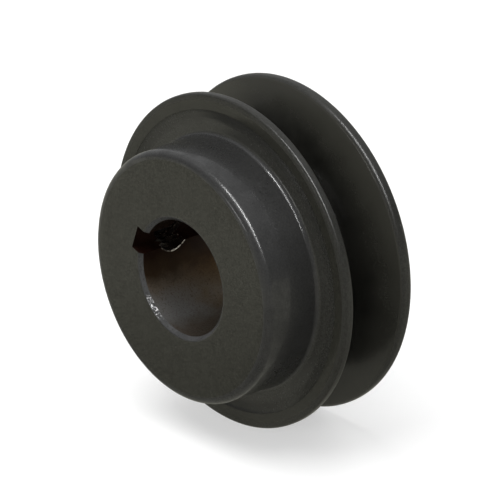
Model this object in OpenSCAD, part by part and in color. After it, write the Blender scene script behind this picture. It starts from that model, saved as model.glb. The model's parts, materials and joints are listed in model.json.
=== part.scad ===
// Finished-bore V-belt pulley: one grooved iron casting with a long hub on
// one side, a keyed bore and a set screw that presses on the key.
// The pulley stands on its rim. The bore lies along Y with the long hub
// towards -Y, +Z is up, and the origin is on the axis at the middle of the
// belt groove.

/* [Rim] */
// Outside diameter of both flanges
outside_d = 82.55; // [76:0.05:95]
// From the middle of the groove to the hub-side face of the rim
front_face = 10.5; // [10.2:0.1:12]
// From the middle of the groove to the plain back face
back_face = 11.3; // [11:0.1:13]
// Rounding of the rim's hub-side outer edge
front_edge_r = 0.8; // [0.3:0.1:1]
// Rounding of the rim's back outer edge
back_edge_r = 1.9; // [0.3:0.1:2]

/* [Belt groove] */
// Width of the groove at the outside diameter
groove_w = 15.6; // [14:0.1:16.2]
// Depth of the groove below the outside diameter
groove_depth = 14.4; // [12:0.1:15]
// Included angle of the groove walls
groove_angle = 34; // [30:1:38]
// Rounding where the walls meet the rim
groove_lip_r = 1.3; // [0.5:0.1:1.4]
// Rounding in the bottom corners of the groove
groove_root_r = 1.5; // [0.5:0.1:2]

/* [Hub] */
// Hub diameter
hub_d = 62.3; // [60:0.1:66]
// From the middle of the groove to the hub's end face
hub_face = 25.4; // [25:0.1:30]
// Rounding of the hub's outer edge
hub_edge_r = 2.0; // [0.5:0.1:5]
// Fillet where the hub runs into the web
hub_root_r = 1.3; // [0.5:0.1:1.5]
// Slope of the web as it falls away from the hub
web_slope = 4; // [2:0.5:6]
// Radius at which the web turns up towards the rim's ring
dish_x = 34.9; // [34.4:0.1:35.4]
// Rounding of that turn
dish_r = 5; // [2:0.5:6]
// Slope of the dish where it climbs to the rim's ring
dish_slope = 14.5; // [12:0.5:17]
// Height of the small step from the dish up to the ring
ring_step = 0.1; // [0.1:0.05:0.2]
// Depth of the ring recess on the back
back_recess = 0.9; // [0.3:0.1:1.2]
// Inner diameter of the flat ring on the rim's face
rim_ring_d = 74.8; // [74:0.1:76]

/* [Bore and keyway] */
// Bore diameter, finished for a one and one eighth inch shaft
bore_d = 28.575; // [25.4:0.005:28.6]
// Bevel at both ends of the bore
bore_bevel = 0.9; // [0.5:0.1:2]
// Keyway width
key_w = 6.35; // [4.7:0.01:8]
// From the axis to the flat floor of the keyway
key_floor = 17.234; // [16.5:0.01:18]
// Direction of the keyway seen from the hub side
key_angle = 160.5; // [0:0.5:360]

/* [Set screw] */
// Thread diameter of the set screw's hole
screw_d = 9.525; // [6:0.005:9.6]
// Thread pitch
screw_pitch = 1.5875; // [1:0.0005:1.6]
// Length of the set screw
screw_len = 11.9; // [8:0.1:12]
// From the hub's end face to the set screw's axis
screw_from_face = 10.2; // [8:0.1:10.2]
// Hexagon socket across the flats
screw_hex = 4.7625; // [3:0.0005:5]
// Running clearance around the screw
screw_gap = 0.055; // [0.02:0.005:0.1]

/* [Hidden] */
$fn = 144;

iron = [0.23, 0.23, 0.22];
steel = [0.13, 0.13, 0.14];

// In the casting's section x is the radius and z runs towards the hub side
rim_r = outside_d / 2;
bore_r = bore_d / 2;
hub_r = hub_d / 2;
ring_r = rim_ring_d / 2;

// Turn of the web at dish_x: its rounding is centred above the corner
step_x = ring_r - ring_step;
step_z = front_face - ring_step;
turn_z = step_z - (step_x - dish_x) * tan(dish_slope);
turn_half = (web_slope + dish_slope) / 2;
turn_lean = (dish_slope - web_slope) / 2;
turn_reach = dish_r / cos(turn_half);
dish_centre_x = dish_x - turn_reach * sin(turn_lean);
dish_centre_z = turn_z + turn_reach * cos(turn_lean);

// Fillet between hub and web
hub_root_x = hub_r + hub_root_r;
hub_root_z = turn_z + (dish_x - hub_root_x) * tan(web_slope) + hub_root_r / cos(web_slope);

// Shallow slope from the ring's face into the rounded outer edge
edge_angle = 10;
edge_run = 1.45;
edge_drop = 0.12;

// Groove walls, with the centre heights of the lip and root roundings
wall_angle = groove_angle / 2;
root_x = rim_r - groove_depth + groove_root_r;
lip_z = groove_w / 2
        + groove_lip_r * (cos(wall_angle) - (1 - sin(wall_angle)) * tan(wall_angle));
root_z = groove_w / 2
         - (groove_depth - groove_root_r * (1 - sin(wall_angle))) * tan(wall_angle)
         - groove_root_r * cos(wall_angle);

// Back recess between the rim's ring and a plain boss, with curved sides
back_boss_r = 24;
rise_r = 5 * back_recess;
rise_run = 3 * back_recess;
rise_angle = acos(rise_run / rise_r);
rise_z = back_recess - back_face - rise_r;

// Screw hole
screw_z = hub_face - screw_from_face;
hole_start = bore_r - 4;
sink_depth = 0.5;
sink_widening = 1.6;

// Set screw: the tip stays one thread pitch outside the keyway floor
screw_tip = key_floor + screw_pitch;
screw_r = screw_d / 2 - screw_gap;
tip_bevel_w = 1.5;
tip_bevel_h = 1.4;
cup_rim_w = 0.6;
cup_h = 1.5;
cup_bottom_r = 0.2;
end_bevel = 0.6;
socket_depth = 5.2;
drill_h = 1;
drill_tip_r = 0.3;
drill_r = screw_hex / 2 - 0.1;
mouth_depth = 0.5;
mouth_r = screw_hex / 2 + 0.5;

// How far cutters run past the faces they cut
overlap = 0.01;
mouth_over = 0.1;
socket_over = 0.8;
key_over = 1;
hole_over = 2;

// Points of an arc in n steps between two angles
function arc(x, z, r, from, to, n) =
    [for (i = [0 : n])
        let (angle = from + (to - from) * i / n)
        [x + r * cos(angle), z + r * sin(angle)]];

// The same outline on the other side of z = 0, in reverse order
function mirrored(points) =
    [for (i = [len(points) - 1 : -1 : 0]) [points[i][0], -points[i][1]]];

// Hub side, from the bore out to the rim's outer edge
function front_outline() = concat(
    [[bore_r, hub_face - bore_bevel], [bore_r + bore_bevel, hub_face]],
    arc(hub_r - hub_edge_r, hub_face - hub_edge_r, hub_edge_r, 90, 0, 14),
    arc(hub_root_x, hub_root_z, hub_root_r, 180, 270 - web_slope, 7),
    arc(dish_centre_x, dish_centre_z, dish_r, -90 - web_slope, dish_slope - 90, 5),
    [[step_x, step_z], [ring_r, front_face], [rim_r - edge_run, front_face]],
    arc(rim_r - front_edge_r, front_face - front_edge_r - edge_drop, front_edge_r,
        90 - edge_angle, 0, 6));

// Hub-side half of the groove, from the lip down to the root
function half_groove() = concat(
    arc(rim_r - groove_lip_r, lip_z, groove_lip_r, 0, wall_angle - 90, 6),
    arc(root_x, root_z, groove_root_r, 90 + wall_angle, 180, 5));

// Back, from the rim's outer edge in to the bore
function back_outline() = concat(
    arc(rim_r - back_edge_r, back_edge_r - back_face, back_edge_r, 0, -90, 8),
    arc(ring_r - rise_run, rise_z, rise_r, rise_angle, 90, 6),
    arc(back_boss_r + rise_run, rise_z, rise_r, 90, 180 - rise_angle, 6),
    [[bore_r + bore_bevel, -back_face], [bore_r, bore_bevel - back_face]]);

// Lays an upright body's axis along Y, long hub to -Y
module lay() { rotate([90, 0, 0]) children(); }

// Points local +Z outwards along the set screw's axis
module at_screw() {
    lay() translate([0, 0, screw_z]) rotate([0, 0, key_angle]) rotate([0, 90, 0]) children();
}

module pulley_body() {
    color(iron)
    difference() {
        lay() rotate_extrude()
            polygon(concat(front_outline(), half_groove(), mirrored(half_groove()),
                           back_outline()));
        // keyway through the full length
        lay() rotate([0, 0, key_angle])
            translate([0, -key_w / 2, -back_face - key_over])
            cube([key_floor, key_w, hub_face + back_face + 2 * key_over]);
        // screw hole from the hub's side into the keyway
        at_screw() translate([0, 0, hole_start])
            cylinder(d = screw_d, h = hub_r + hole_over - hole_start);
        // countersink at the hole's mouth
        at_screw() translate([0, 0, hub_r - sink_depth])
            cylinder(d1 = screw_d, d2 = screw_d + sink_widening, h = 2 * sink_depth);
    }
}

module set_screw() {
    color(steel)
    at_screw() translate([0, 0, screw_tip])
    difference() {
        union() {
            cylinder(r1 = screw_r - tip_bevel_w, r2 = screw_r, h = tip_bevel_h);
            translate([0, 0, tip_bevel_h])
                cylinder(r = screw_r, h = screw_len - tip_bevel_h - end_bevel);
            translate([0, 0, screw_len - end_bevel])
                cylinder(r1 = screw_r, r2 = screw_r - end_bevel, h = end_bevel);
        }
        // hollow of the cup point
        translate([0, 0, -overlap])
            cylinder(r1 = screw_r - tip_bevel_w - cup_rim_w, r2 = cup_bottom_r, h = cup_h);
        // hexagon socket, its drilled bottom and its bevelled mouth
        translate([0, 0, screw_len - socket_depth])
            cylinder(d = screw_hex / cos(30), h = socket_depth + socket_over, $fn = 6);
        translate([0, 0, screw_len - socket_depth - drill_h])
            cylinder(r1 = drill_tip_r, r2 = drill_r, h = drill_h + overlap);
        translate([0, 0, screw_len - mouth_depth])
            cylinder(r1 = drill_r, r2 = mouth_r, h = mouth_depth + mouth_over);
    }
}

pulley_body();
set_screw();
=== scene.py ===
# A painted cast-iron V-belt pulley with a keyed bore and a hex socket set screw in its hub.
# CAD frame: the bore lies along Y, the long hub points towards -Y and +Z is up.
# Mesh sizes are in mm, scaled by MM as vertices are made. Shaders, lights and the camera
# work in metres. "Front" is the hub's side, -Y.
import json
import math

import bpy
import bmesh
from mathutils import Matrix, Vector, noise


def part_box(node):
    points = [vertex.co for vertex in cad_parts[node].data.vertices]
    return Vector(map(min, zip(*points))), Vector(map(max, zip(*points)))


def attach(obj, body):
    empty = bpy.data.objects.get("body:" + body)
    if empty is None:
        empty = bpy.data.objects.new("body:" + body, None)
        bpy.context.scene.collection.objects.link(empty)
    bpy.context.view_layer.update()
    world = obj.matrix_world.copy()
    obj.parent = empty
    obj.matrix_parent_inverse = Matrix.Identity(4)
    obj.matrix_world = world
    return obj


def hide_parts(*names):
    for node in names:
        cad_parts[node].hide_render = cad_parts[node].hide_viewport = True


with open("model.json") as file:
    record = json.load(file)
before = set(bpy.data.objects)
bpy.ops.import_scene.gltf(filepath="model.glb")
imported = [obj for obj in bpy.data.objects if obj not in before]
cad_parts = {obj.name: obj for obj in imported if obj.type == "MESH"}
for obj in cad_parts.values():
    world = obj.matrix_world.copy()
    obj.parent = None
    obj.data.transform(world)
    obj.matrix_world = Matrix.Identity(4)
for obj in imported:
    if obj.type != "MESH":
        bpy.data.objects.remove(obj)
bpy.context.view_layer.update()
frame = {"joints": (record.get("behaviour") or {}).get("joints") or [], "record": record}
MM = 0.001

# ---------------------------------------------------------------- dimensions from the frame
body_lo, body_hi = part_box("pulley_body")
OUTER_R = body_hi.z / MM
HUB_END = -body_lo.y / MM           # hub end face, distance towards -Y
BACK = body_hi.y / MM               # back face, distance towards +Y
mounts = {m["name"]: m for m in frame["record"]["mounts"]}
BORE_R = mounts["bore"]["dims"]["r_mm"]
SCREW_AXIS = Vector(frame["joints"][0]["axis"]).normalized()    # pointing outwards
screw_lo, screw_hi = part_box("set_screw")
SCREW_Y = ((screw_lo + screw_hi) / 2).y                         # metres

# ---------------------------------------------------------------- dimensions of the casting
RIM_FACE = 10.5                     # front of the rim, distance towards -Y
HUB_R, HUB_ROUND, HUB_ROOT_R = 31.15, 2.0, 1.3
RING_R = 37.4                       # inner radius of the rim's flat ring
WEB_SLOPE, DISH_SLOPE = 4.0, 14.5   # degrees; the web steepens where the dish begins
DISH_START, DISH_BEND_R = 34.9, 5.0
RIM_STEP = 0.1
RECESS_R, RECESS = 24.0, 0.9        # shallow back recess: inner radius, depth
RIM_ROUND, BACK_ROUND = 0.8, 1.9    # outer corners of the rim, front and back
GROOVE_W, GROOVE_D, GROOVE_LEAN = 15.6, 14.4, math.radians(17)
LIP_R, GROOVE_ROOT_R = 1.3, 1.5
BORE_BEVEL = 0.9
HUB_BREAK, RING_BREAK = 0.32, 0.20  # small broken corners of the hub face and the ring
KEY_W, KEY_FLOOR = 6.35, 17.234     # key seat: width, floor's distance from the bore's axis
CAST_SEGMENTS = 360
FINE_STEP, COARSE_STEP = 1.1, 3.2   # longest section steps, rough skin and the rest
SHARP_ANGLE = 26                    # degrees
# how far the rough skin shows on each part of the section
ROUGHCAST = {"hub": 1.0, "web": 1.0, "ring": 0.25, "lip": 0.15}
SKIN_BROAD, SKIN_FINE = 0.045, 0.012

# ---------------------------------------------------------------- dimensions of the screw
PITCH = 1.5875
FLANK = 1.732                       # radial fall per mm along a 60 degree thread
THREAD_R, TAP_MINOR_R, SCREW_MINOR_R = 4.7625, 4.0, 3.78
SCREW_CLEARANCE = 0.055
COUNTERSINK, COUNTERSINK_RISE = 0.5, 0.8
ROD_SEGMENTS = 72
SCREW_LEN = 11.9
SCREW_TIP = KEY_FLOOR + PITCH       # distance from the bore's axis
SOCKET_FLATS, SOCKET_DEPTH = 4.7625, 5.2


def columns(x, y, z):
    return Matrix((x, y, z)).transposed().to_4x4()


# stands an upright tool on the screw's axis: local +Z outwards, origin on the bore's axis
bore_axis = Vector((0, 1, 0))
SCREW_PLACE = Matrix.Translation((0, SCREW_Y, 0)) @ columns(
    bore_axis, SCREW_AXIS.cross(bore_axis), SCREW_AXIS)

# the key seat lies under the screw
key_angle = math.atan2(SCREW_AXIS.z, SCREW_AXIS.x)
KEY_OUT = Vector((math.cos(key_angle), 0, math.sin(key_angle)))
KEY_ACROSS = Vector((-KEY_OUT.z, 0, KEY_OUT.x))


# ---------------------------------------------------------------- mesh helpers
def mesh_object(name, verts, faces, mats=()):
    mesh = bpy.data.meshes.new(name)
    mesh.from_pydata(verts, [], faces)
    mesh.validate()
    ob = bpy.data.objects.new(name, mesh)
    bpy.context.scene.collection.objects.link(ob)
    for mat in mats:
        mesh.materials.append(mat)
    return ob


def ring_faces(bands, rings, count):
    """Quads joining successive rings of count vertices; wraps when bands equals rings."""
    faces = []
    for i in range(bands):
        near, far = i * count, (i + 1) % rings * count
        for j in range(count):
            k = (j + 1) % count
            faces.append((near + j, near + k, far + k, far + j))
    return faces


def caps(rings, count):
    last = (rings - 1) * count
    return [tuple(reversed(range(count))), tuple(range(last, last + count))]


def fix_normals(ob):
    bm = bmesh.new()
    bm.from_mesh(ob.data)
    bmesh.ops.recalc_face_normals(bm, faces=bm.faces)
    bm.to_mesh(ob.data)
    bm.free()


def cut(ob, tool):
    """Subtracts the tool from the object and removes the tool."""
    mod = ob.modifiers.new("cut", "BOOLEAN")
    mod.operation = "DIFFERENCE"
    mod.solver = "EXACT"
    mod.object = tool
    bpy.context.view_layer.update()
    graph = bpy.context.evaluated_depsgraph_get()
    mesh = bpy.data.meshes.new_from_object(ob.evaluated_get(graph))
    old = ob.data
    ob.modifiers.clear()
    ob.data = mesh
    bpy.data.meshes.remove(old)
    bpy.data.objects.remove(tool)


def finish_mesh(ob):
    """Cleans up after the cuts and shades smooth between sharp corners."""
    bm = bmesh.new()
    bm.from_mesh(ob.data)
    bmesh.ops.remove_doubles(bm, verts=bm.verts, dist=1e-7)
    bmesh.ops.dissolve_degenerate(bm, edges=bm.edges, dist=1e-7)
    loose = [v for v in bm.verts if not v.link_faces]
    bmesh.ops.delete(bm, geom=loose, context="VERTS")
    for f in bm.faces:
        f.smooth = True
    bm.to_mesh(ob.data)
    bm.free()
    ob.data.set_sharp_from_angle(angle=math.radians(SHARP_ANGLE))


def thread_radius(x, crest, root, flat):
    """Radius at axial distance x from the middle of a crest with half width flat."""
    return max(root, crest - FLANK * max(0.0, abs(x) - flat))


def threaded_rod(name, z0, z1, radius, step):
    """Closed rod from z0 to z1; radius(z, x), where x is the distance from the crest."""
    steps = int(round((z1 - z0) / step))
    verts = []
    for i in range(steps + 1):
        z = z0 + (z1 - z0) * i / steps
        for j in range(ROD_SEGMENTS):
            a = 2 * math.pi * j / ROD_SEGMENTS
            phase = (z / PITCH - j / ROD_SEGMENTS)
            phase -= math.floor(phase + 0.5)
            r = radius(z, phase * PITCH)
            verts.append((r * math.cos(a) * MM, r * math.sin(a) * MM, z * MM))
    faces = ring_faces(steps, steps + 1, ROD_SEGMENTS) + caps(steps + 1, ROD_SEGMENTS)
    return mesh_object(name, verts, faces)


def cone_tool(name, z0, z1, r0, r1, sides, start=0.0):
    """Prism or cone along Z with radius r0 at z0 and r1 at z1."""
    verts = []
    for z, r in ((z0, r0), (z1, r1)):
        for j in range(sides):
            a = 2 * math.pi * j / sides + start
            verts.append((r * math.cos(a) * MM, r * math.sin(a) * MM, z * MM))
    return mesh_object(name, verts, caps(2, sides) + ring_faces(1, 2, sides))


# ---------------------------------------------------------------- shader helpers
class Nodes:
    """Writes the node tree of a material or a world."""

    def __init__(self, owner):
        owner.use_nodes = True
        self.tree = owner.node_tree
        self.tree.nodes.clear()

    def node(self, kind, **settings):
        made = self.tree.nodes.new("ShaderNode" + kind)
        for key, value in settings.items():
            setattr(made, key, value)
        return made

    def put(self, sock, value):
        """Links a socket, or sets a value; a colour of three parts gets an alpha of 1."""
        if isinstance(value, bpy.types.NodeSocket):
            self.tree.links.new(value, sock)
        elif isinstance(value, tuple) and len(value) == 3 and len(sock.default_value) == 4:
            sock.default_value = (*value, 1.0)
        else:
            sock.default_value = value

    def fill(self, node, *values):
        for sock, value in zip(node.inputs, values):
            self.put(sock, value)
        return node.outputs[0]

    def math(self, op, a, b=0.0, c=0.0, clamp=False):
        return self.fill(self.node("Math", operation=op, use_clamp=clamp), a, b, c)

    def add(self, a, b, clamp=False):
        return self.math("ADD", a, b, clamp=clamp)

    def sub(self, a, b, clamp=False):
        return self.math("SUBTRACT", a, b, clamp=clamp)

    def mul(self, a, b):
        return self.math("MULTIPLY", a, b)

    def length(self, a, b):
        return self.math("SQRT", self.add(self.mul(a, a), self.mul(b, b)))

    def waver(self, value, by, amount):
        """Shifts a value by a noise centred on 0.5."""
        return self.add(value, self.mul(self.sub(by, 0.5), amount))

    def vector(self, op, a, *b):
        made = self.node("VectorMath", operation=op)
        self.fill(made, a, *b)
        return made.outputs["Value" if op in ("LENGTH", "DOT_PRODUCT") else "Vector"]

    def ramp(self, value, over, to=(0.0, 1.0)):
        """Smooth step over one range of values to another."""
        made = self.node("MapRange", interpolation_type="SMOOTHSTEP")
        self.put(made.inputs["Value"], value)
        for name, v in zip(("From Min", "From Max", "To Min", "To Max"), (*over, *to)):
            self.put(made.inputs[name], v)
        return made.outputs[0]


class Surface(Nodes):
    """A material with one Principled shader."""

    def __init__(self, name):
        self.mat = bpy.data.materials.new(name)
        super().__init__(self.mat)
        self.out = self.node("OutputMaterial")
        self.shader = self.node("BsdfPrincipled")
        self.put(self.out.inputs[0], self.shader.outputs[0])
        self.place = self.node("TexCoord").outputs["Object"]

    def set(self, **inputs):
        for key, value in inputs.items():
            self.put(self.shader.inputs[key.replace("_", " ")], value)

    def noise(self, scale, detail=3.0, rough=0.5, vec=None):
        made = self.node("TexNoise")
        self.put(made.inputs["Vector"], vec or self.place)
        made.inputs["Scale"].default_value = scale
        made.inputs["Detail"].default_value = detail
        made.inputs["Roughness"].default_value = rough
        made.inputs["Distortion"].default_value = 0.0
        return made.outputs[0]

    def cells(self, scale):
        made = self.node("TexVoronoi", feature="F1")
        self.put(made.inputs["Vector"], self.place)
        made.inputs["Scale"].default_value = scale
        made.inputs["Randomness"].default_value = 1.0
        return made.outputs["Distance"]

    def mix(self, factor, a, b):
        made = self.node("Mix", data_type="RGBA")
        for i, value in ((0, factor), (6, a), (7, b)):
            self.put(made.inputs[i], value)
        return made.outputs[2]

    def overlay(self, col, colour, mask, amount):
        return self.mix(self.mul(mask, amount), col, colour)

    def bump(self, height, depth):
        made = self.node("Bump")
        made.inputs["Strength"].default_value = 1.0
        made.inputs["Distance"].default_value = depth
        self.put(made.inputs["Height"], height)
        return made.outputs[0]

    def xyz(self):
        made = self.node("SeparateXYZ")
        self.put(made.inputs[0], self.place)
        return made.outputs

    def turn(self, x, z):
        """Angle about the bore, 0..1, with 0.5 on the -X side and 0.75 straight below."""
        a = self.math("ARCTAN2", self.mul(z, -1.0), self.mul(x, -1.0))
        return self.math("MULTIPLY_ADD", a, 0.5 / math.pi, 0.5)

    def edge(self, radius):
        """0 on smooth areas, rising on corners narrower than radius (metres)."""
        normal = self.node("NewGeometry").outputs["Normal"]
        bevel = self.node("Bevel", samples=4)
        bevel.inputs["Radius"].default_value = radius
        return self.sub(1.0, self.vector("DOT_PRODUCT", normal, bevel.outputs[0]), clamp=True)


# ---------------------------------------------------------------- materials
def paint_material(name, dark, light, rough, peel, lumps, coat, grit):
    """Dark paint: rough is a range, peel and lumps are relief, grit is the speckle."""
    n = Surface(name)
    big = n.noise(scale=38.0, detail=4.0, rough=0.55)
    mid = n.noise(scale=260.0)
    fine = n.noise(scale=1500.0, detail=2.0)
    grain = n.noise(scale=5200.0, detail=1.0)
    tone = n.add(n.mul(big, 0.45), n.mul(mid, 0.35))
    tone = n.ramp(n.add(tone, n.mul(fine, 0.20)), over=(0.38, 0.62))
    col = n.mix(tone, dark, light)
    # pale and dark speckle
    salt = n.noise(scale=2300.0, detail=2.0, rough=0.6)
    pale, deep = tuple(c * 2.0 for c in light), tuple(c * 0.35 for c in dark)
    col = n.overlay(col, pale, n.ramp(salt, over=(0.50, 0.68)), amount=0.38 * grit)
    col = n.overlay(col, deep, n.ramp(salt, over=(0.32, 0.50), to=(1.0, 0.0)),
                    amount=0.48 * grit)
    # thin paint on sharp corners lets the iron show a little
    wear = n.mul(n.ramp(n.edge(radius=0.0005), over=(0.05, 0.30)),
                 n.ramp(mid, over=(0.42, 0.62)))
    col = n.overlay(col, (0.085, 0.082, 0.076), wear, amount=0.35)
    # dust nibs caught in the paint
    nib = n.ramp(n.cells(scale=210.0), over=(0.035, 0.075), to=(1.0, 0.0))
    nib = n.mul(nib, n.ramp(n.noise(scale=90.0, detail=1.0), over=(0.62, 0.68)))
    col = n.overlay(col, (0.10, 0.098, 0.09), nib, amount=0.5)
    shine = n.ramp(salt, over=(0.34, 0.66), to=(0.5 - 0.14 * grit, 0.5 + 0.14 * grit))
    roughness = n.ramp(n.add(n.mul(big, 0.5), n.mul(fine, 0.5)), over=(0.32, 0.68), to=rough)
    height = n.add(n.mul(mid, lumps), n.mul(fine, peel))
    height = n.add(height, n.mul(grain, peel * 0.25))
    height = n.add(height, n.mul(nib, 0.35))
    normal = n.bump(height, depth=0.00008)
    # the gloss is patchy, and duller underneath
    low = n.ramp(n.xyz()[2], over=(-0.026, -0.008), to=(0.25, 1.0))
    gloss = n.ramp(n.noise(scale=210.0, rough=0.6), over=(0.38, 0.60),
                   to=(coat * 0.35, coat * 1.15))
    n.set(Base_Color=col, Roughness=roughness, Normal=normal, Metallic=0.0, IOR=1.5,
          Specular_IOR_Level=shine, Coat_Weight=n.mul(gloss, low),
          Coat_Roughness=n.ramp(big, over=(0.3, 0.7), to=(0.04, 0.075)),
          Coat_Normal=n.bump(height, depth=0.00002))
    return n.mat


def groove_material():
    """Paint in the belt groove: fine turning rings, with painted shade darker towards the root
    and below.
    """
    n = Surface("paint_groove")
    x, y, z = n.xyz()
    r = n.length(x, z)
    rings = n.noise(scale=2600.0, detail=2.0, rough=0.6, vec=n.fill(n.node("CombineXYZ"), r, y))
    blot = n.noise(scale=120.0, detail=4.0, rough=0.6)
    speck = n.noise(scale=2400.0, detail=2.0, rough=0.6)
    col = n.mix(n.ramp(blot, over=(0.35, 0.65)), (0.0060, 0.0060, 0.0050),
                (0.0100, 0.0098, 0.0083))
    # painted shade: the colour lightens towards the lips and towards the top, so the groove is
    # darker at its root and below
    groove_painted_light = n.ramp(n.add(r, n.mul(blot, 0.003)), over=(0.0310, 0.0425))
    groove_painted_light = n.mul(groove_painted_light, n.ramp(z, over=(-0.016, 0.028), to=(0.48, 1.0)))
    col = n.mix(groove_painted_light, col, (0.0275, 0.0270, 0.0222))
    col = n.overlay(col, (0.028, 0.027, 0.024), n.ramp(speck, over=(0.55, 0.70)), amount=0.35)
    height = n.add(n.mul(rings, 0.5), n.mul(speck, 0.5))
    n.set(Base_Color=col, Roughness=n.ramp(blot, over=(0.3, 0.7), to=(0.19, 0.27)),
          Normal=n.bump(height, depth=0.00002), IOR=1.5, Coat_Weight=0.07,
          Coat_Roughness=0.10)
    return n.mat


# colour of the bore, a brown film with painted light and shade, dark brown above by the key
# seat and light grey low on the -X side: angle about it as in Surface.turn, then red, green,
# blue
BORE_FILM_AND_PAINTED_LIGHT = (
    (0.0, (0.060, 0.046, 0.034)),
    (0.40, (0.016, 0.006, 0.0032)),
    (0.50, (0.018, 0.0062, 0.003)),
    (0.545, (0.044, 0.026, 0.013)),
    (0.585, (0.135, 0.110, 0.084)),
    (0.625, (0.150, 0.145, 0.137)),
    (0.670, (0.146, 0.144, 0.140)),
    (0.700, (0.112, 0.108, 0.100)),
    (0.735, (0.080, 0.068, 0.056)),
    (0.80, (0.052, 0.042, 0.032)),
    (1.0, (0.060, 0.046, 0.034)),
)


def bore_material():
    """Bare reamed iron with a film of brown rust preventer; its colour around the bore carries
    painted light and shade, dark above by the key seat and light grey low on the -X side.
    """
    n = Surface("bare_bore")
    x, y, z = n.xyz()
    marks = n.noise(scale=3600.0, rough=0.65, vec=n.fill(n.node("CombineXYZ"), y))
    blot = n.noise(scale=170.0, detail=4.0, rough=0.6)
    spot = n.noise(scale=1900.0, rough=0.65)
    speck = n.noise(scale=5200.0, detail=2.0, rough=0.6)
    angle = n.waver(n.turn(x, z), by=blot, amount=0.10)
    # painted light and shade around the bore, from the table above
    film = n.node("ValToRGB")
    stops = film.color_ramp.elements
    for i, (position, colour) in enumerate(BORE_FILM_AND_PAINTED_LIGHT):
        stop = stops[i] if i < 2 else stops.new(position)
        stop.position = position
        stop.color = (*colour, 1.0)
    n.put(film.inputs[0], angle)
    # browner and darker towards +Y, deeper in the bore
    deep = n.ramp(n.waver(y, by=blot, amount=0.02), over=(-0.022, 0.0))
    tint = n.node("Mix", data_type="RGBA", blend_type="MULTIPLY")
    for i, value in ((0, deep), (6, film.outputs[0]), (7, (0.85, 0.62, 0.34))):
        n.put(tint.inputs[i], value)
    col = n.overlay(tint.outputs[2], (0.050, 0.026, 0.012),
                    n.ramp(spot, over=(0.54, 0.66)), amount=0.45)
    col = n.overlay(col, (0.012, 0.008, 0.005), n.ramp(speck, over=(0.50, 0.66)), amount=0.35)
    # painted highlight, bright and partly metallic, on the edge where the tapped hole breaks
    # into the bore, on the -X side only
    from_hole = n.vector("SUBTRACT", n.place, (0.0, SCREW_Y, 0.0))
    off_axis = n.vector("LENGTH", n.vector("CROSS_PRODUCT", from_hole, SCREW_AXIS))
    painted_hole_glint = n.mul(n.ramp(off_axis, over=(0.00494, 0.00510), to=(1.0, 0.0)),
                n.ramp(n.turn(x, z), over=(0.470, 0.485)))
    painted_hole_glint = n.mul(painted_hole_glint, n.ramp(n.turn(x, z), over=(0.60, 0.62), to=(1.0, 0.0)))
    painted_hole_glint = n.mul(painted_hole_glint, n.ramp(y, over=(SCREW_Y - 0.0026, SCREW_Y + 0.0006), to=(0.22, 1.0)))
    painted_hole_glint = n.mul(painted_hole_glint, n.ramp(n.noise(scale=700.0, detail=2.0), over=(0.35, 0.5)))
    col = n.mix(painted_hole_glint, col, (0.85, 0.80, 0.70))
    height = n.add(n.mul(marks, 0.7), n.mul(spot, 0.5))
    n.set(Base_Color=col, Metallic=n.ramp(painted_hole_glint, over=(0.2, 0.8), to=(0.6, 0.2)),
          Roughness=n.ramp(spot, over=(0.3, 0.7), to=(0.34, 0.56)),
          Normal=n.bump(height, depth=0.00003), Coat_Weight=0.06, Coat_Roughness=0.25)
    return n.mat


def bevel_material():
    """The countersunk ends of the bore: bright turned iron with paint crept over it."""
    n = Surface("bevel_iron")
    x, y, z = n.xyz()
    mid = n.noise(scale=330.0, detail=4.0, rough=0.6)
    chip = n.noise(scale=1700.0, rough=0.7)
    bare = n.mul(n.ramp(mid, over=(0.44, 0.58)), n.ramp(chip, over=(0.42, 0.58)))
    col = n.overlay((0.030, 0.030, 0.0305), (0.13, 0.13, 0.132), bare, amount=0.4)
    # bright specks painted as glints, low on the -X side, at the hub's end only
    angle = n.waver(n.turn(x, z), by=mid, amount=0.06)
    glint_arc = n.mul(n.ramp(angle, over=(0.592, 0.61)),
                n.ramp(angle, over=(0.650, 0.675), to=(1.0, 0.0)))
    painted_glints = n.mul(glint_arc, n.ramp(n.noise(scale=2300.0, rough=0.6), over=(0.53, 0.60)))
    painted_glints = n.mul(painted_glints, n.ramp(y, over=(-0.010, -0.012)))
    col = n.mix(painted_glints, col, (0.62, 0.62, 0.63))
    n.set(Base_Color=col, Metallic=n.ramp(bare, over=(0.2, 0.8), to=(0.0, 0.4)),
          Roughness=n.ramp(chip, over=(0.3, 0.7), to=(0.25, 0.5)),
          Normal=n.bump(n.add(chip, mid), depth=0.00008))
    return n.mat


def key_material():
    """Broached key seat, near black as painted shade, with fine lines along the bore."""
    n = Surface("key_seat")
    stretch = n.node("Mapping")
    n.put(stretch.inputs["Vector"], n.place)
    stretch.inputs["Scale"].default_value = (1.0, 0.05, 1.0)
    lines = n.noise(scale=2600.0, rough=0.6, vec=stretch.outputs[0])
    blot = n.noise(scale=260.0, detail=4.0, rough=0.6)
    # near-black colour: painted shade in the key seat
    col = n.mix(n.ramp(blot, over=(0.35, 0.65)), (0.0060, 0.0016, 0.0009),
                (0.0125, 0.0046, 0.0028))
    n.set(Specular_IOR_Level=0.12, Base_Color=col, Metallic=0.15, Roughness=0.55,
          Normal=n.bump(lines, depth=0.00006))
    return n.mat


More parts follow.
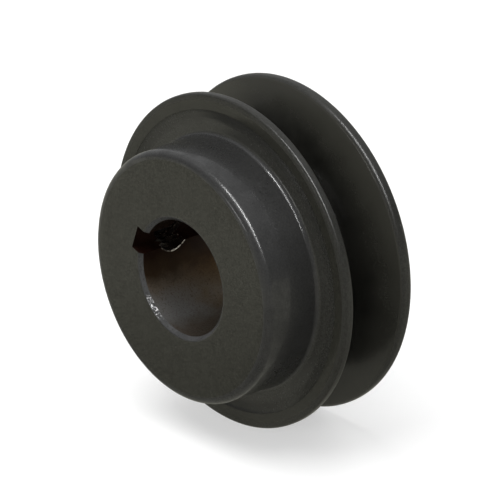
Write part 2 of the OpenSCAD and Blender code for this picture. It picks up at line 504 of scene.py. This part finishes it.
def thread_material():
    """Tapped thread, near black as painted shade inside the hole, with bright crests: cut iron
    lightened as painted glints.
    """
    n = Surface("tapped_thread")
    mid = n.noise(scale=420.0, detail=4.0, rough=0.6)
    fine = n.noise(scale=2600.0, detail=2.0, rough=0.6)
    col = n.mix(n.ramp(mid, over=(0.4, 0.62)), (0.007, 0.0042, 0.0030), (0.032, 0.025, 0.020))
    # bright crests: cut iron, lightened as painted glints
    crest = n.mul(n.ramp(n.edge(radius=0.00018), over=(0.08, 0.30)),
                  n.ramp(mid, over=(0.40, 0.55)))
    col = n.mix(crest, col, (0.34, 0.30, 0.24))
    n.set(Base_Color=col, Metallic=0.6,
          Roughness=n.ramp(fine, over=(0.3, 0.7), to=(0.22, 0.42)),
          Normal=n.bump(fine, depth=0.00004))
    return n.mat


def screw_material():
    """Black oxide, worn on its edges."""
    n = Surface("black_oxide")
    mid = n.noise(scale=500.0, detail=4.0, rough=0.6)
    fine = n.noise(scale=3000.0, detail=2.0, rough=0.6)
    wear = n.mul(n.ramp(n.edge(radius=0.00025), over=(0.04, 0.35)),
                 n.ramp(mid, over=(0.40, 0.6)))
    col = n.mix(n.ramp(mid, over=(0.35, 0.65)), (0.020, 0.020, 0.022), (0.040, 0.040, 0.043))
    col = n.mix(wear, col, (0.28, 0.275, 0.27))
    n.set(Base_Color=col, Metallic=0.85,
          Roughness=n.ramp(fine, over=(0.3, 0.7), to=(0.26, 0.42)),
          Normal=n.bump(n.add(mid, fine), depth=0.00003))
    return n.mat


paint_cast = paint_material(
    "paint_cast", dark=(0.0172, 0.0172, 0.0170), light=(0.0214, 0.0214, 0.0210),
    rough=(0.26, 0.36), peel=0.12, lumps=0.40, coat=0.50, grit=0.35)
paint_turned = paint_material(
    "paint_turned", dark=(0.0163, 0.0160, 0.0124), light=(0.0195, 0.0192, 0.0151),
    rough=(0.20, 0.27), peel=0.05, lumps=0.12, coat=0.07, grit=0.72)
# the web's copy of the paint is lighter than the others: painted light on the recessed web
paint_web = paint_material(
    "paint_web", dark=(0.0232, 0.0230, 0.0200), light=(0.0268, 0.0266, 0.0232),
    rough=(0.22, 0.29), peel=0.01, lumps=0.07, coat=0.07, grit=0.30)
paint_edge = paint_material(
    "paint_edge", dark=(0.0148, 0.0146, 0.0123), light=(0.0180, 0.0178, 0.0153),
    rough=(0.31, 0.39), peel=0.12, lumps=0.40, coat=0.04, grit=0.60)

# the casting's material slots, in order
CAST, TURNED, GROOVE, BORE, BEVEL, KEY, TAPPED, WEB, EDGE = range(9)
casting_materials = (
    paint_cast, paint_turned, groove_material(), bore_material(), bevel_material(),
    key_material(), thread_material(), paint_web, paint_edge)
black_oxide = screw_material()


# ---------------------------------------------------------------- the casting
def arc(cx, cz, r, a0, a1, n):
    """n + 1 points about (cx, cz) from angle a0 to a1, degrees."""
    a0, a1 = math.radians(a0), math.radians(a1)
    angles = [a0 + (a1 - a0) * i / n for i in range(n + 1)]
    return [(cx + r * math.cos(a), cz + r * math.sin(a)) for a in angles]


def section_corners():
    """Closed section as (kind, points); a point is (radius, distance towards -Y)."""
    # front of the web: hub root, gentle slope, then the steeper dish up to the ring
    web, dish = math.radians(WEB_SLOPE), math.radians(DISH_SLOPE)
    bend_z = RIM_FACE - RIM_STEP - (RING_R - RIM_STEP - DISH_START) * math.tan(dish)
    mean = math.radians((WEB_SLOPE + DISH_SLOPE) / 2)
    lean = math.radians((DISH_SLOPE - WEB_SLOPE) / 2)
    bend_cx = DISH_START - DISH_BEND_R / math.cos(mean) * math.sin(lean)
    bend_cz = bend_z + DISH_BEND_R / math.cos(mean) * math.cos(lean)
    root_cx = HUB_R + HUB_ROOT_R
    root_cz = bend_z + (DISH_START - root_cx) * math.tan(web) + HUB_ROOT_R / math.cos(web)
    # ends of the back recess
    end_r, end_run = 5 * RECESS, 3 * RECESS
    end_angle = math.degrees(math.acos(end_run / end_r))
    end_cz = -(BACK - RECESS) - end_r
    # belt groove, symmetric about y = 0
    half = math.degrees(GROOVE_LEAN)
    sin_g, tan_g = math.sin(GROOVE_LEAN), math.tan(GROOVE_LEAN)
    cos_g = math.cos(GROOVE_LEAN)
    lip_z = GROOVE_W / 2 + LIP_R * (cos_g - (1 - sin_g) * tan_g)
    floor_z = (GROOVE_W / 2 - (GROOVE_D - GROOVE_ROOT_R * (1 - sin_g)) * tan_g
               - GROOVE_ROOT_R * cos_g)
    floor_cx = OUTER_R - GROOVE_D + GROOVE_ROOT_R
    lip_cx = OUTER_R - LIP_R
    mouth = BORE_R + BORE_BEVEL
    return [
        ("bevel", [(BORE_R, HUB_END - BORE_BEVEL), (mouth - 0.10, HUB_END - 0.10)]),
        ("face", arc(mouth + 0.18, HUB_END - HUB_BREAK, HUB_BREAK, 132, 90, 4)),
        ("face", [(HUB_R - HUB_ROUND, HUB_END)]),
        ("hub", arc(HUB_R - HUB_ROUND, HUB_END - HUB_ROUND, HUB_ROUND, 90, 0, 28)[1:]),
        ("hub", arc(root_cx, root_cz, HUB_ROOT_R, 180, 270 - WEB_SLOPE, 16)),
        ("web", arc(bend_cx, bend_cz, DISH_BEND_R, -90 - WEB_SLOPE, DISH_SLOPE - 90, 10)),
        ("web", [(RING_R - 0.12, RIM_FACE - 0.10), (RING_R - 0.05, RIM_FACE - 0.05)]),
        ("ring", arc(RING_R + 0.14, RIM_FACE - RING_BREAK, RING_BREAK, 132, 90, 4)),
        ("ring", [(OUTER_R - 1.6, RIM_FACE), (OUTER_R - 1.45, RIM_FACE - 0.006),
                  (OUTER_R - 1.3, RIM_FACE - 0.022)]),
        ("ring", arc(OUTER_R - RIM_ROUND, RIM_FACE - RIM_ROUND - 0.12, RIM_ROUND, 80, 0, 14)),
        ("lip", arc(lip_cx, lip_z, LIP_R, 0, half - 90, 14)),
        ("groove", arc(floor_cx, floor_z, GROOVE_ROOT_R, 90 + half, 180, 10)),
        ("groove", arc(floor_cx, -floor_z, GROOVE_ROOT_R, 180, 270 - half, 10)),
        ("lip", arc(lip_cx, -lip_z, LIP_R, 90 - half, 0, 14)),
        ("ring", arc(OUTER_R - BACK_ROUND, BACK_ROUND - BACK, BACK_ROUND, 0, -90, 18)),
        ("web", arc(RING_R - end_run, end_cz, end_r, end_angle, 90, 14)),
        ("web", arc(RECESS_R + end_run, end_cz, end_r, 90, 180 - end_angle, 14)),
        ("face", [(mouth + 0.1, -BACK)]),
        ("bevel", [(mouth - 0.12, 0.12 - BACK)]),
        ("bore", [(BORE_R, BORE_BEVEL - BACK)]),
    ]


def section():
    """The section's points and kinds, with long straight runs divided."""
    corners = []
    for kind, points in section_corners():
        for p in points:
            if not corners or math.dist(p, corners[-1][0]) >= 0.02:
                corners.append((p, kind))
    points, kinds = [], []
    for (a, kind_a), (b, kind_b) in zip(corners, corners[1:] + corners[:1]):
        step = FINE_STEP if kind_b in ("hub", "web") else COARSE_STEP
        parts = max(1, int(math.ceil(math.dist(a, b) / step)))
        for j in range(parts):
            t = j / parts
            points.append((a[0] + (b[0] - a[0]) * t, a[1] + (b[1] - a[1]) * t))
            kinds.append(kind_a if j == 0 else kind_b)
    return points, kinds


def skin_depth(point):
    """Unevenness of a rough-cast skin at a point."""
    broad = 0.5 + 0.5 * noise.noise(point * 0.13) * 1.4
    fine = 0.5 + 0.5 * noise.noise(point * 0.42 + Vector((7, 3, 5)))
    return SKIN_BROAD * max(0.0, min(1.0, broad)) + SKIN_FINE * fine


def casting():
    points, kinds = section()
    count = len(points)
    rough = [ROUGHCAST.get(k, 0.0) for k in kinds]
    verts = []
    for i, (r, d) in enumerate(points):
        amount = 0.0
        if kinds[i] not in ("bore", "bevel", "face"):
            amount = sum(rough[(i + j) % count] for j in range(-3, 4)) / 7
        before, after = points[i - 1], points[(i + 1) % count]
        along = Vector((after[0] - before[0], after[1] - before[1])).normalized()
        out_r, out_d = -along.y, along.x
        for j in range(CAST_SEGMENTS):
            a = 2 * math.pi * j / CAST_SEGMENTS
            rr, dd = r, d
            if amount:
                w = amount * skin_depth(Vector((r * math.cos(a), -d, r * math.sin(a))))
                rr -= out_r * w
                dd -= out_d * w
            verts.append((rr * math.cos(a) * MM, -dd * MM, rr * math.sin(a) * MM))
    ob = mesh_object("pulley_casting", verts, ring_faces(count, count, CAST_SEGMENTS),
                     casting_materials)
    fix_normals(ob)
    return ob


def key_tool():
    """A long box that starts inside the bore and overshoots both ends by 1 mm."""
    inner, half = 4.0, KEY_W / 2
    verts = []
    for y in (body_lo.y / MM - 1, body_hi.y / MM + 1):
        for out, across in ((inner, -half), (KEY_FLOOR, -half), (KEY_FLOOR, half),
                            (inner, half)):
            verts.append((KEY_OUT * out + KEY_ACROSS * across + Vector((0, y, 0))) * MM)
    faces = [(0, 1, 2, 3), (7, 6, 5, 4), (0, 4, 5, 1), (1, 5, 6, 2), (2, 6, 7, 3), (3, 7, 4, 0)]
    tool = mesh_object("key_tool", verts, faces)
    fix_normals(tool)
    return tool


def tap_radius(z, x):
    if z < BORE_R + 0.9:                    # the mouth in the bore is left smooth
        return THREAD_R + 0.02
    r = thread_radius(x, THREAD_R, TAP_MINOR_R, flat=0.12)
    sunk = z - (HUB_R - COUNTERSINK)
    if sunk > 0:                            # countersunk mouth
        r = max(r, THREAD_R + min(COUNTERSINK_RISE, COUNTERSINK_RISE * sunk))
    return r


def tap_tool():
    tool = threaded_rod("tap_tool", BORE_R - 4, HUB_R + 1.2, tap_radius, step=0.11)
    tool.data.transform(SCREW_PLACE)
    fix_normals(tool)
    return tool


def material_slot(face):
    """The slot of a casting face, from its place; small numbers are margins in mm."""
    c = face.center / MM
    r = math.hypot(c.x, c.z)
    d = -c.y
    out = KEY_OUT.dot(c)
    across = abs(KEY_ACROSS.dot(c))
    off_screw = math.hypot(across, c.y - SCREW_Y / MM)
    in_key = across < KEY_W / 2 + 0.02 and out < KEY_FLOOR
    if (off_screw < THREAD_R + 0.02 and BORE_R - 0.6 < out < HUB_R - 0.85
            and abs(out - KEY_FLOOR) > 0.02 and not in_key):
        return TAPPED
    # the countersink
    if off_screw < THREAD_R + 1.3 and out > HUB_R - 1.0 and r < HUB_R - 0.03:
        return TURNED
    if (out > BORE_R - 1 and across < KEY_W / 2 + 0.01 and out < KEY_FLOOR + 0.02
            and r > BORE_R + 0.02):
        return KEY
    front_bevel, back_bevel = HUB_END - BORE_BEVEL, BORE_BEVEL - BACK
    if abs(r - BORE_R) < 0.06 and back_bevel - 0.01 < d < front_bevel + 0.01:
        return BORE
    if r < BORE_R + BORE_BEVEL - 0.05 and (d > front_bevel - 0.01 or d < back_bevel + 0.01):
        return BEVEL
    if abs(d) < GROOVE_W / 2 + 0.2 and BORE_R + 1 < r < OUTER_R - 0.5:
        return GROOVE
    if r > OUTER_R - 1.5:
        return EDGE
    # the flat hub faces and the rim's ring
    if (abs(face.normal.y) > 0.999 and r < 29.3) or r > RING_R - 0.3:
        return TURNED
    if r > HUB_R + 0.55 and d < RIM_FACE + 0.3:
        return WEB
    return CAST


body = casting()
cut(body, key_tool())
cut(body, tap_tool())
finish_mesh(body)
for polygon in body.data.polygons:
    polygon.material_index = material_slot(polygon)
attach(body, "pulley")
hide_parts("pulley_body")


# ---------------------------------------------------------------- the set screw
def screw_radius(z, x):
    t = z - SCREW_TIP
    r = thread_radius(x, THREAD_R - SCREW_CLEARANCE, SCREW_MINOR_R, flat=0.06)
    r = min(r, 3.15 + 1.1 * t)                        # bevel to the cup's edge
    return min(r, 4.0 + 1.0 * (SCREW_LEN - t))        # bevel at the socket end


top = SCREW_TIP + SCREW_LEN
socket_r = SOCKET_FLATS / 2
hex_r = socket_r / math.cos(math.pi / 6)
screw = threaded_rod("hex_socket_set_screw", SCREW_TIP, top, screw_radius, step=0.09)
# z from and to, radius at each, sides, start angle
for name, *shape in (
        ("socket_tool", top - SOCKET_DEPTH, top + 1, hex_r, hex_r, 6, 0.3),
        ("socket_floor_tool", top - 6.3, top - 5.19, 0.25, socket_r - 0.12, 48),
        ("socket_mouth_tool", top - 0.5, top + 0.1, socket_r - 0.1, socket_r + 0.5, 64),
        ("cup_tool", SCREW_TIP - 0.1, SCREW_TIP + 1.6, 2.75, 0.15, 64)):
    cut(screw, cone_tool(name, *shape))
screw.data.materials.append(black_oxide)
screw.data.transform(SCREW_PLACE)
finish_mesh(screw)
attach(screw, "screw")
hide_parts("set_screw")


# ---------------------------------------------------------------- the floor
def floor_material():
    """Pale paper, half washed out to the camera and darker to bounced light; to the paint's
    reflections it is a glow with painted shade.
    """
    n = Surface("floor_paper")
    ray = n.node("LightPath").outputs
    tone = n.noise(scale=3.0, detail=2.0)
    pale = n.mix(tone, (0.86, 0.86, 0.855), (0.89, 0.89, 0.885))
    n.set(Base_Color=n.mix(ray["Is Diffuse Ray"], pale, (0.45, 0.45, 0.44)), Roughness=0.8,
          Specular_IOR_Level=0.1)
    # painted reflection: to glossy rays the floor is a glow rather than lit paper
    glow = n.node("Emission")
    x, y, z = n.xyz()
    dist = n.length(x, y)
    # painted shadow in the floor's mirrored glow: its brightness by distance from the pulley's
    # middle, metres
    shade = n.ramp(dist, over=(0.022, 0.045), to=(1.58, 1.0))
    for over, to in (((0.04, 0.13), (0.58, 1.0)), ((0.13, 0.40), (1.0, 1.06)),
                     ((0.010, 0.018), (0.78, 1.0))):
        shade = n.mul(shade, n.ramp(dist, over=over, to=to))
    # painted shade, darker towards the camera, +X -Y
    painted_shade_ahead = n.add(n.mul(x, 0.67), n.mul(y, -0.74))
    painted_shade_ahead = n.math("DIVIDE", painted_shade_ahead, n.math("MAXIMUM", dist, 0.001))
    painted_shade_ahead = n.mul(n.ramp(painted_shade_ahead, over=(0.35, 0.95)),
                  n.ramp(dist, over=(0.04, 0.08), to=(0.0, 0.34)))
    shade = n.mul(shade, n.sub(1.0, painted_shade_ahead))
    seen, mirrored = ray["Is Camera Ray"], ray["Is Glossy Ray"]
    n.fill(glow, n.mix(seen, (0.44, 0.435, 0.37), (1.0, 1.0, 1.0)),
           n.add(n.mul(shade, mirrored), seen))
    share = n.add(n.mul(seen, 0.5), mirrored, clamp=True)
    wash = n.fill(n.node("MixShader"), share, n.shader.outputs[0], glow.outputs[0])
    n.put(n.out.inputs[0], wash)
    return n.mat


FLOOR_HALF = 6                      # metres
floor_corners = [(sx * FLOOR_HALF, sy * FLOOR_HALF, -OUTER_R * MM)
                 for sx, sy in ((-1, -1), (1, -1), (1, 1), (-1, 1))]
mesh_object("floor", floor_corners, [(0, 1, 2, 3)], (floor_material(),))


# ---------------------------------------------------------------- the world
def studio_world():
    """White to the camera; a dim sky to the paint, lighter above on the -X +Y side."""
    world = bpy.data.worlds.new("studio")
    bpy.context.scene.world = world
    n = Nodes(world)
    out = n.node("OutputWorld")
    seen = n.fill(n.node("Background"), (1, 1, 1), 1.0)
    sky = n.node("Background")
    ray = n.node("LightPath").outputs
    towards = n.vector("DOT_PRODUCT", n.node("TexCoord").outputs["Generated"],
                       Vector((-0.45, 0.35, 0.82)).normalized())
    mirrored = n.ramp(towards, over=(0.1, 1.0), to=(0.14, 0.50))
    strength = n.node("Mix")
    for i, value in ((0, ray["Is Glossy Ray"]), (2, 0.50), (3, mirrored)):
        n.put(strength.inputs[i], value)
    n.fill(sky, (0.975, 0.985, 1.0), strength.outputs[0])
    n.fill(out, n.fill(n.node("MixShader"), ray["Is Camera Ray"], sky.outputs[0], seen)) \
        if False else n.put(out.inputs[0], n.fill(
            n.node("MixShader"), ray["Is Camera Ray"], sky.outputs[0], seen))


studio_world()


# ---------------------------------------------------------------- lights
def area_light(name, where, size, power, target=(0, 0, 0), x_dir=None, color=(1, 1, 1)):
    """Rectangular light at where, facing target; x_dir is its long side's direction."""
    lamp = bpy.data.lights.new(name, "AREA")
    lamp.shape = "RECTANGLE"
    lamp.size, lamp.size_y = size
    lamp.energy = power
    lamp.color = color
    lamp.spread = math.pi
    ob = bpy.data.objects.new(name, lamp)
    bpy.context.scene.collection.objects.link(ob)
    z = (Vector(where) - Vector(target)).normalized()
    x = x_dir or Vector((0, 0, 1)).cross(z)
    x = (x - z * x.dot(z)).normalized()
    ob.matrix_world = Matrix.Translation(where) @ columns(x, z.cross(x), z)
    return ob


# a pair of thin tubes overhead, running towards +X, makes the fine double streaks on the
# rounded edges
tube_start, tube_end = Vector((-0.03, -0.177, 1.006)), Vector((1.02, 0.081, 0.794))
tube_side = (tube_end - tube_start).cross((tube_start + tube_end) / 2).normalized()
for i, shift in enumerate((-0.065, 0.065)):
    a, b = tube_start + tube_side * shift, tube_end + tube_side * shift
    tube = area_light("tube_%d" % i, (a + b) / 2, size=((b - a).length, 0.030), power=5.8,
                      target=(0, -0.01, 0), x_dir=b - a)
    tube.visible_diffuse = False
window = area_light("front_window", (-0.16, -1.0, 0.22), size=(0.30, 0.10), power=0.6)
window.visible_diffuse = False
for light in (
        area_light("top_soft", (-0.10, -0.30, 1.15), size=(1.0, 1.0), power=18.0),
        area_light("front_soft", (0.65, -0.9, 0.35), size=(0.6, 0.6), power=5.0,
                   color=(1.0, 0.985, 0.94)),
        area_light("rear_soft", (-0.65, 1.0, 0.50), size=(0.8, 0.8), power=6.0)):
    light.visible_glossy = False

# ---------------------------------------------------------------- camera
AZIMUTH, ELEVATION = 0.8395, 0.4073         # radians, from -Y towards +X and upwards
back = Vector((math.sin(AZIMUTH) * math.cos(ELEVATION),
               -math.cos(AZIMUTH) * math.cos(ELEVATION), math.sin(ELEVATION)))
right = Vector((math.cos(AZIMUTH), math.sin(AZIMUTH), 0))
up = back.cross(right)
# the distances are in outside radii
radius_m = OUTER_R * MM
camera_at = ((right * 0.1146 + up * 0.0655 + back * 29.708) * radius_m
             + Vector((0, -0.2345 * radius_m, 0)))
camera_data = bpy.data.cameras.new("camera")
camera_data.lens = 372.3408
camera_data.sensor_width = 36
camera_data.clip_start = 0.05
camera_data.clip_end = 50
camera = bpy.data.objects.new("camera", camera_data)
bpy.context.scene.collection.objects.link(camera)
camera.matrix_world = Matrix.Translation(camera_at) @ columns(right, up, back)
bpy.context.scene.camera = camera
bpy.context.scene.view_settings.view_transform = "Standard"
bpy.context.scene.view_settings.look = "None"

bpy.context.view_layer.update()
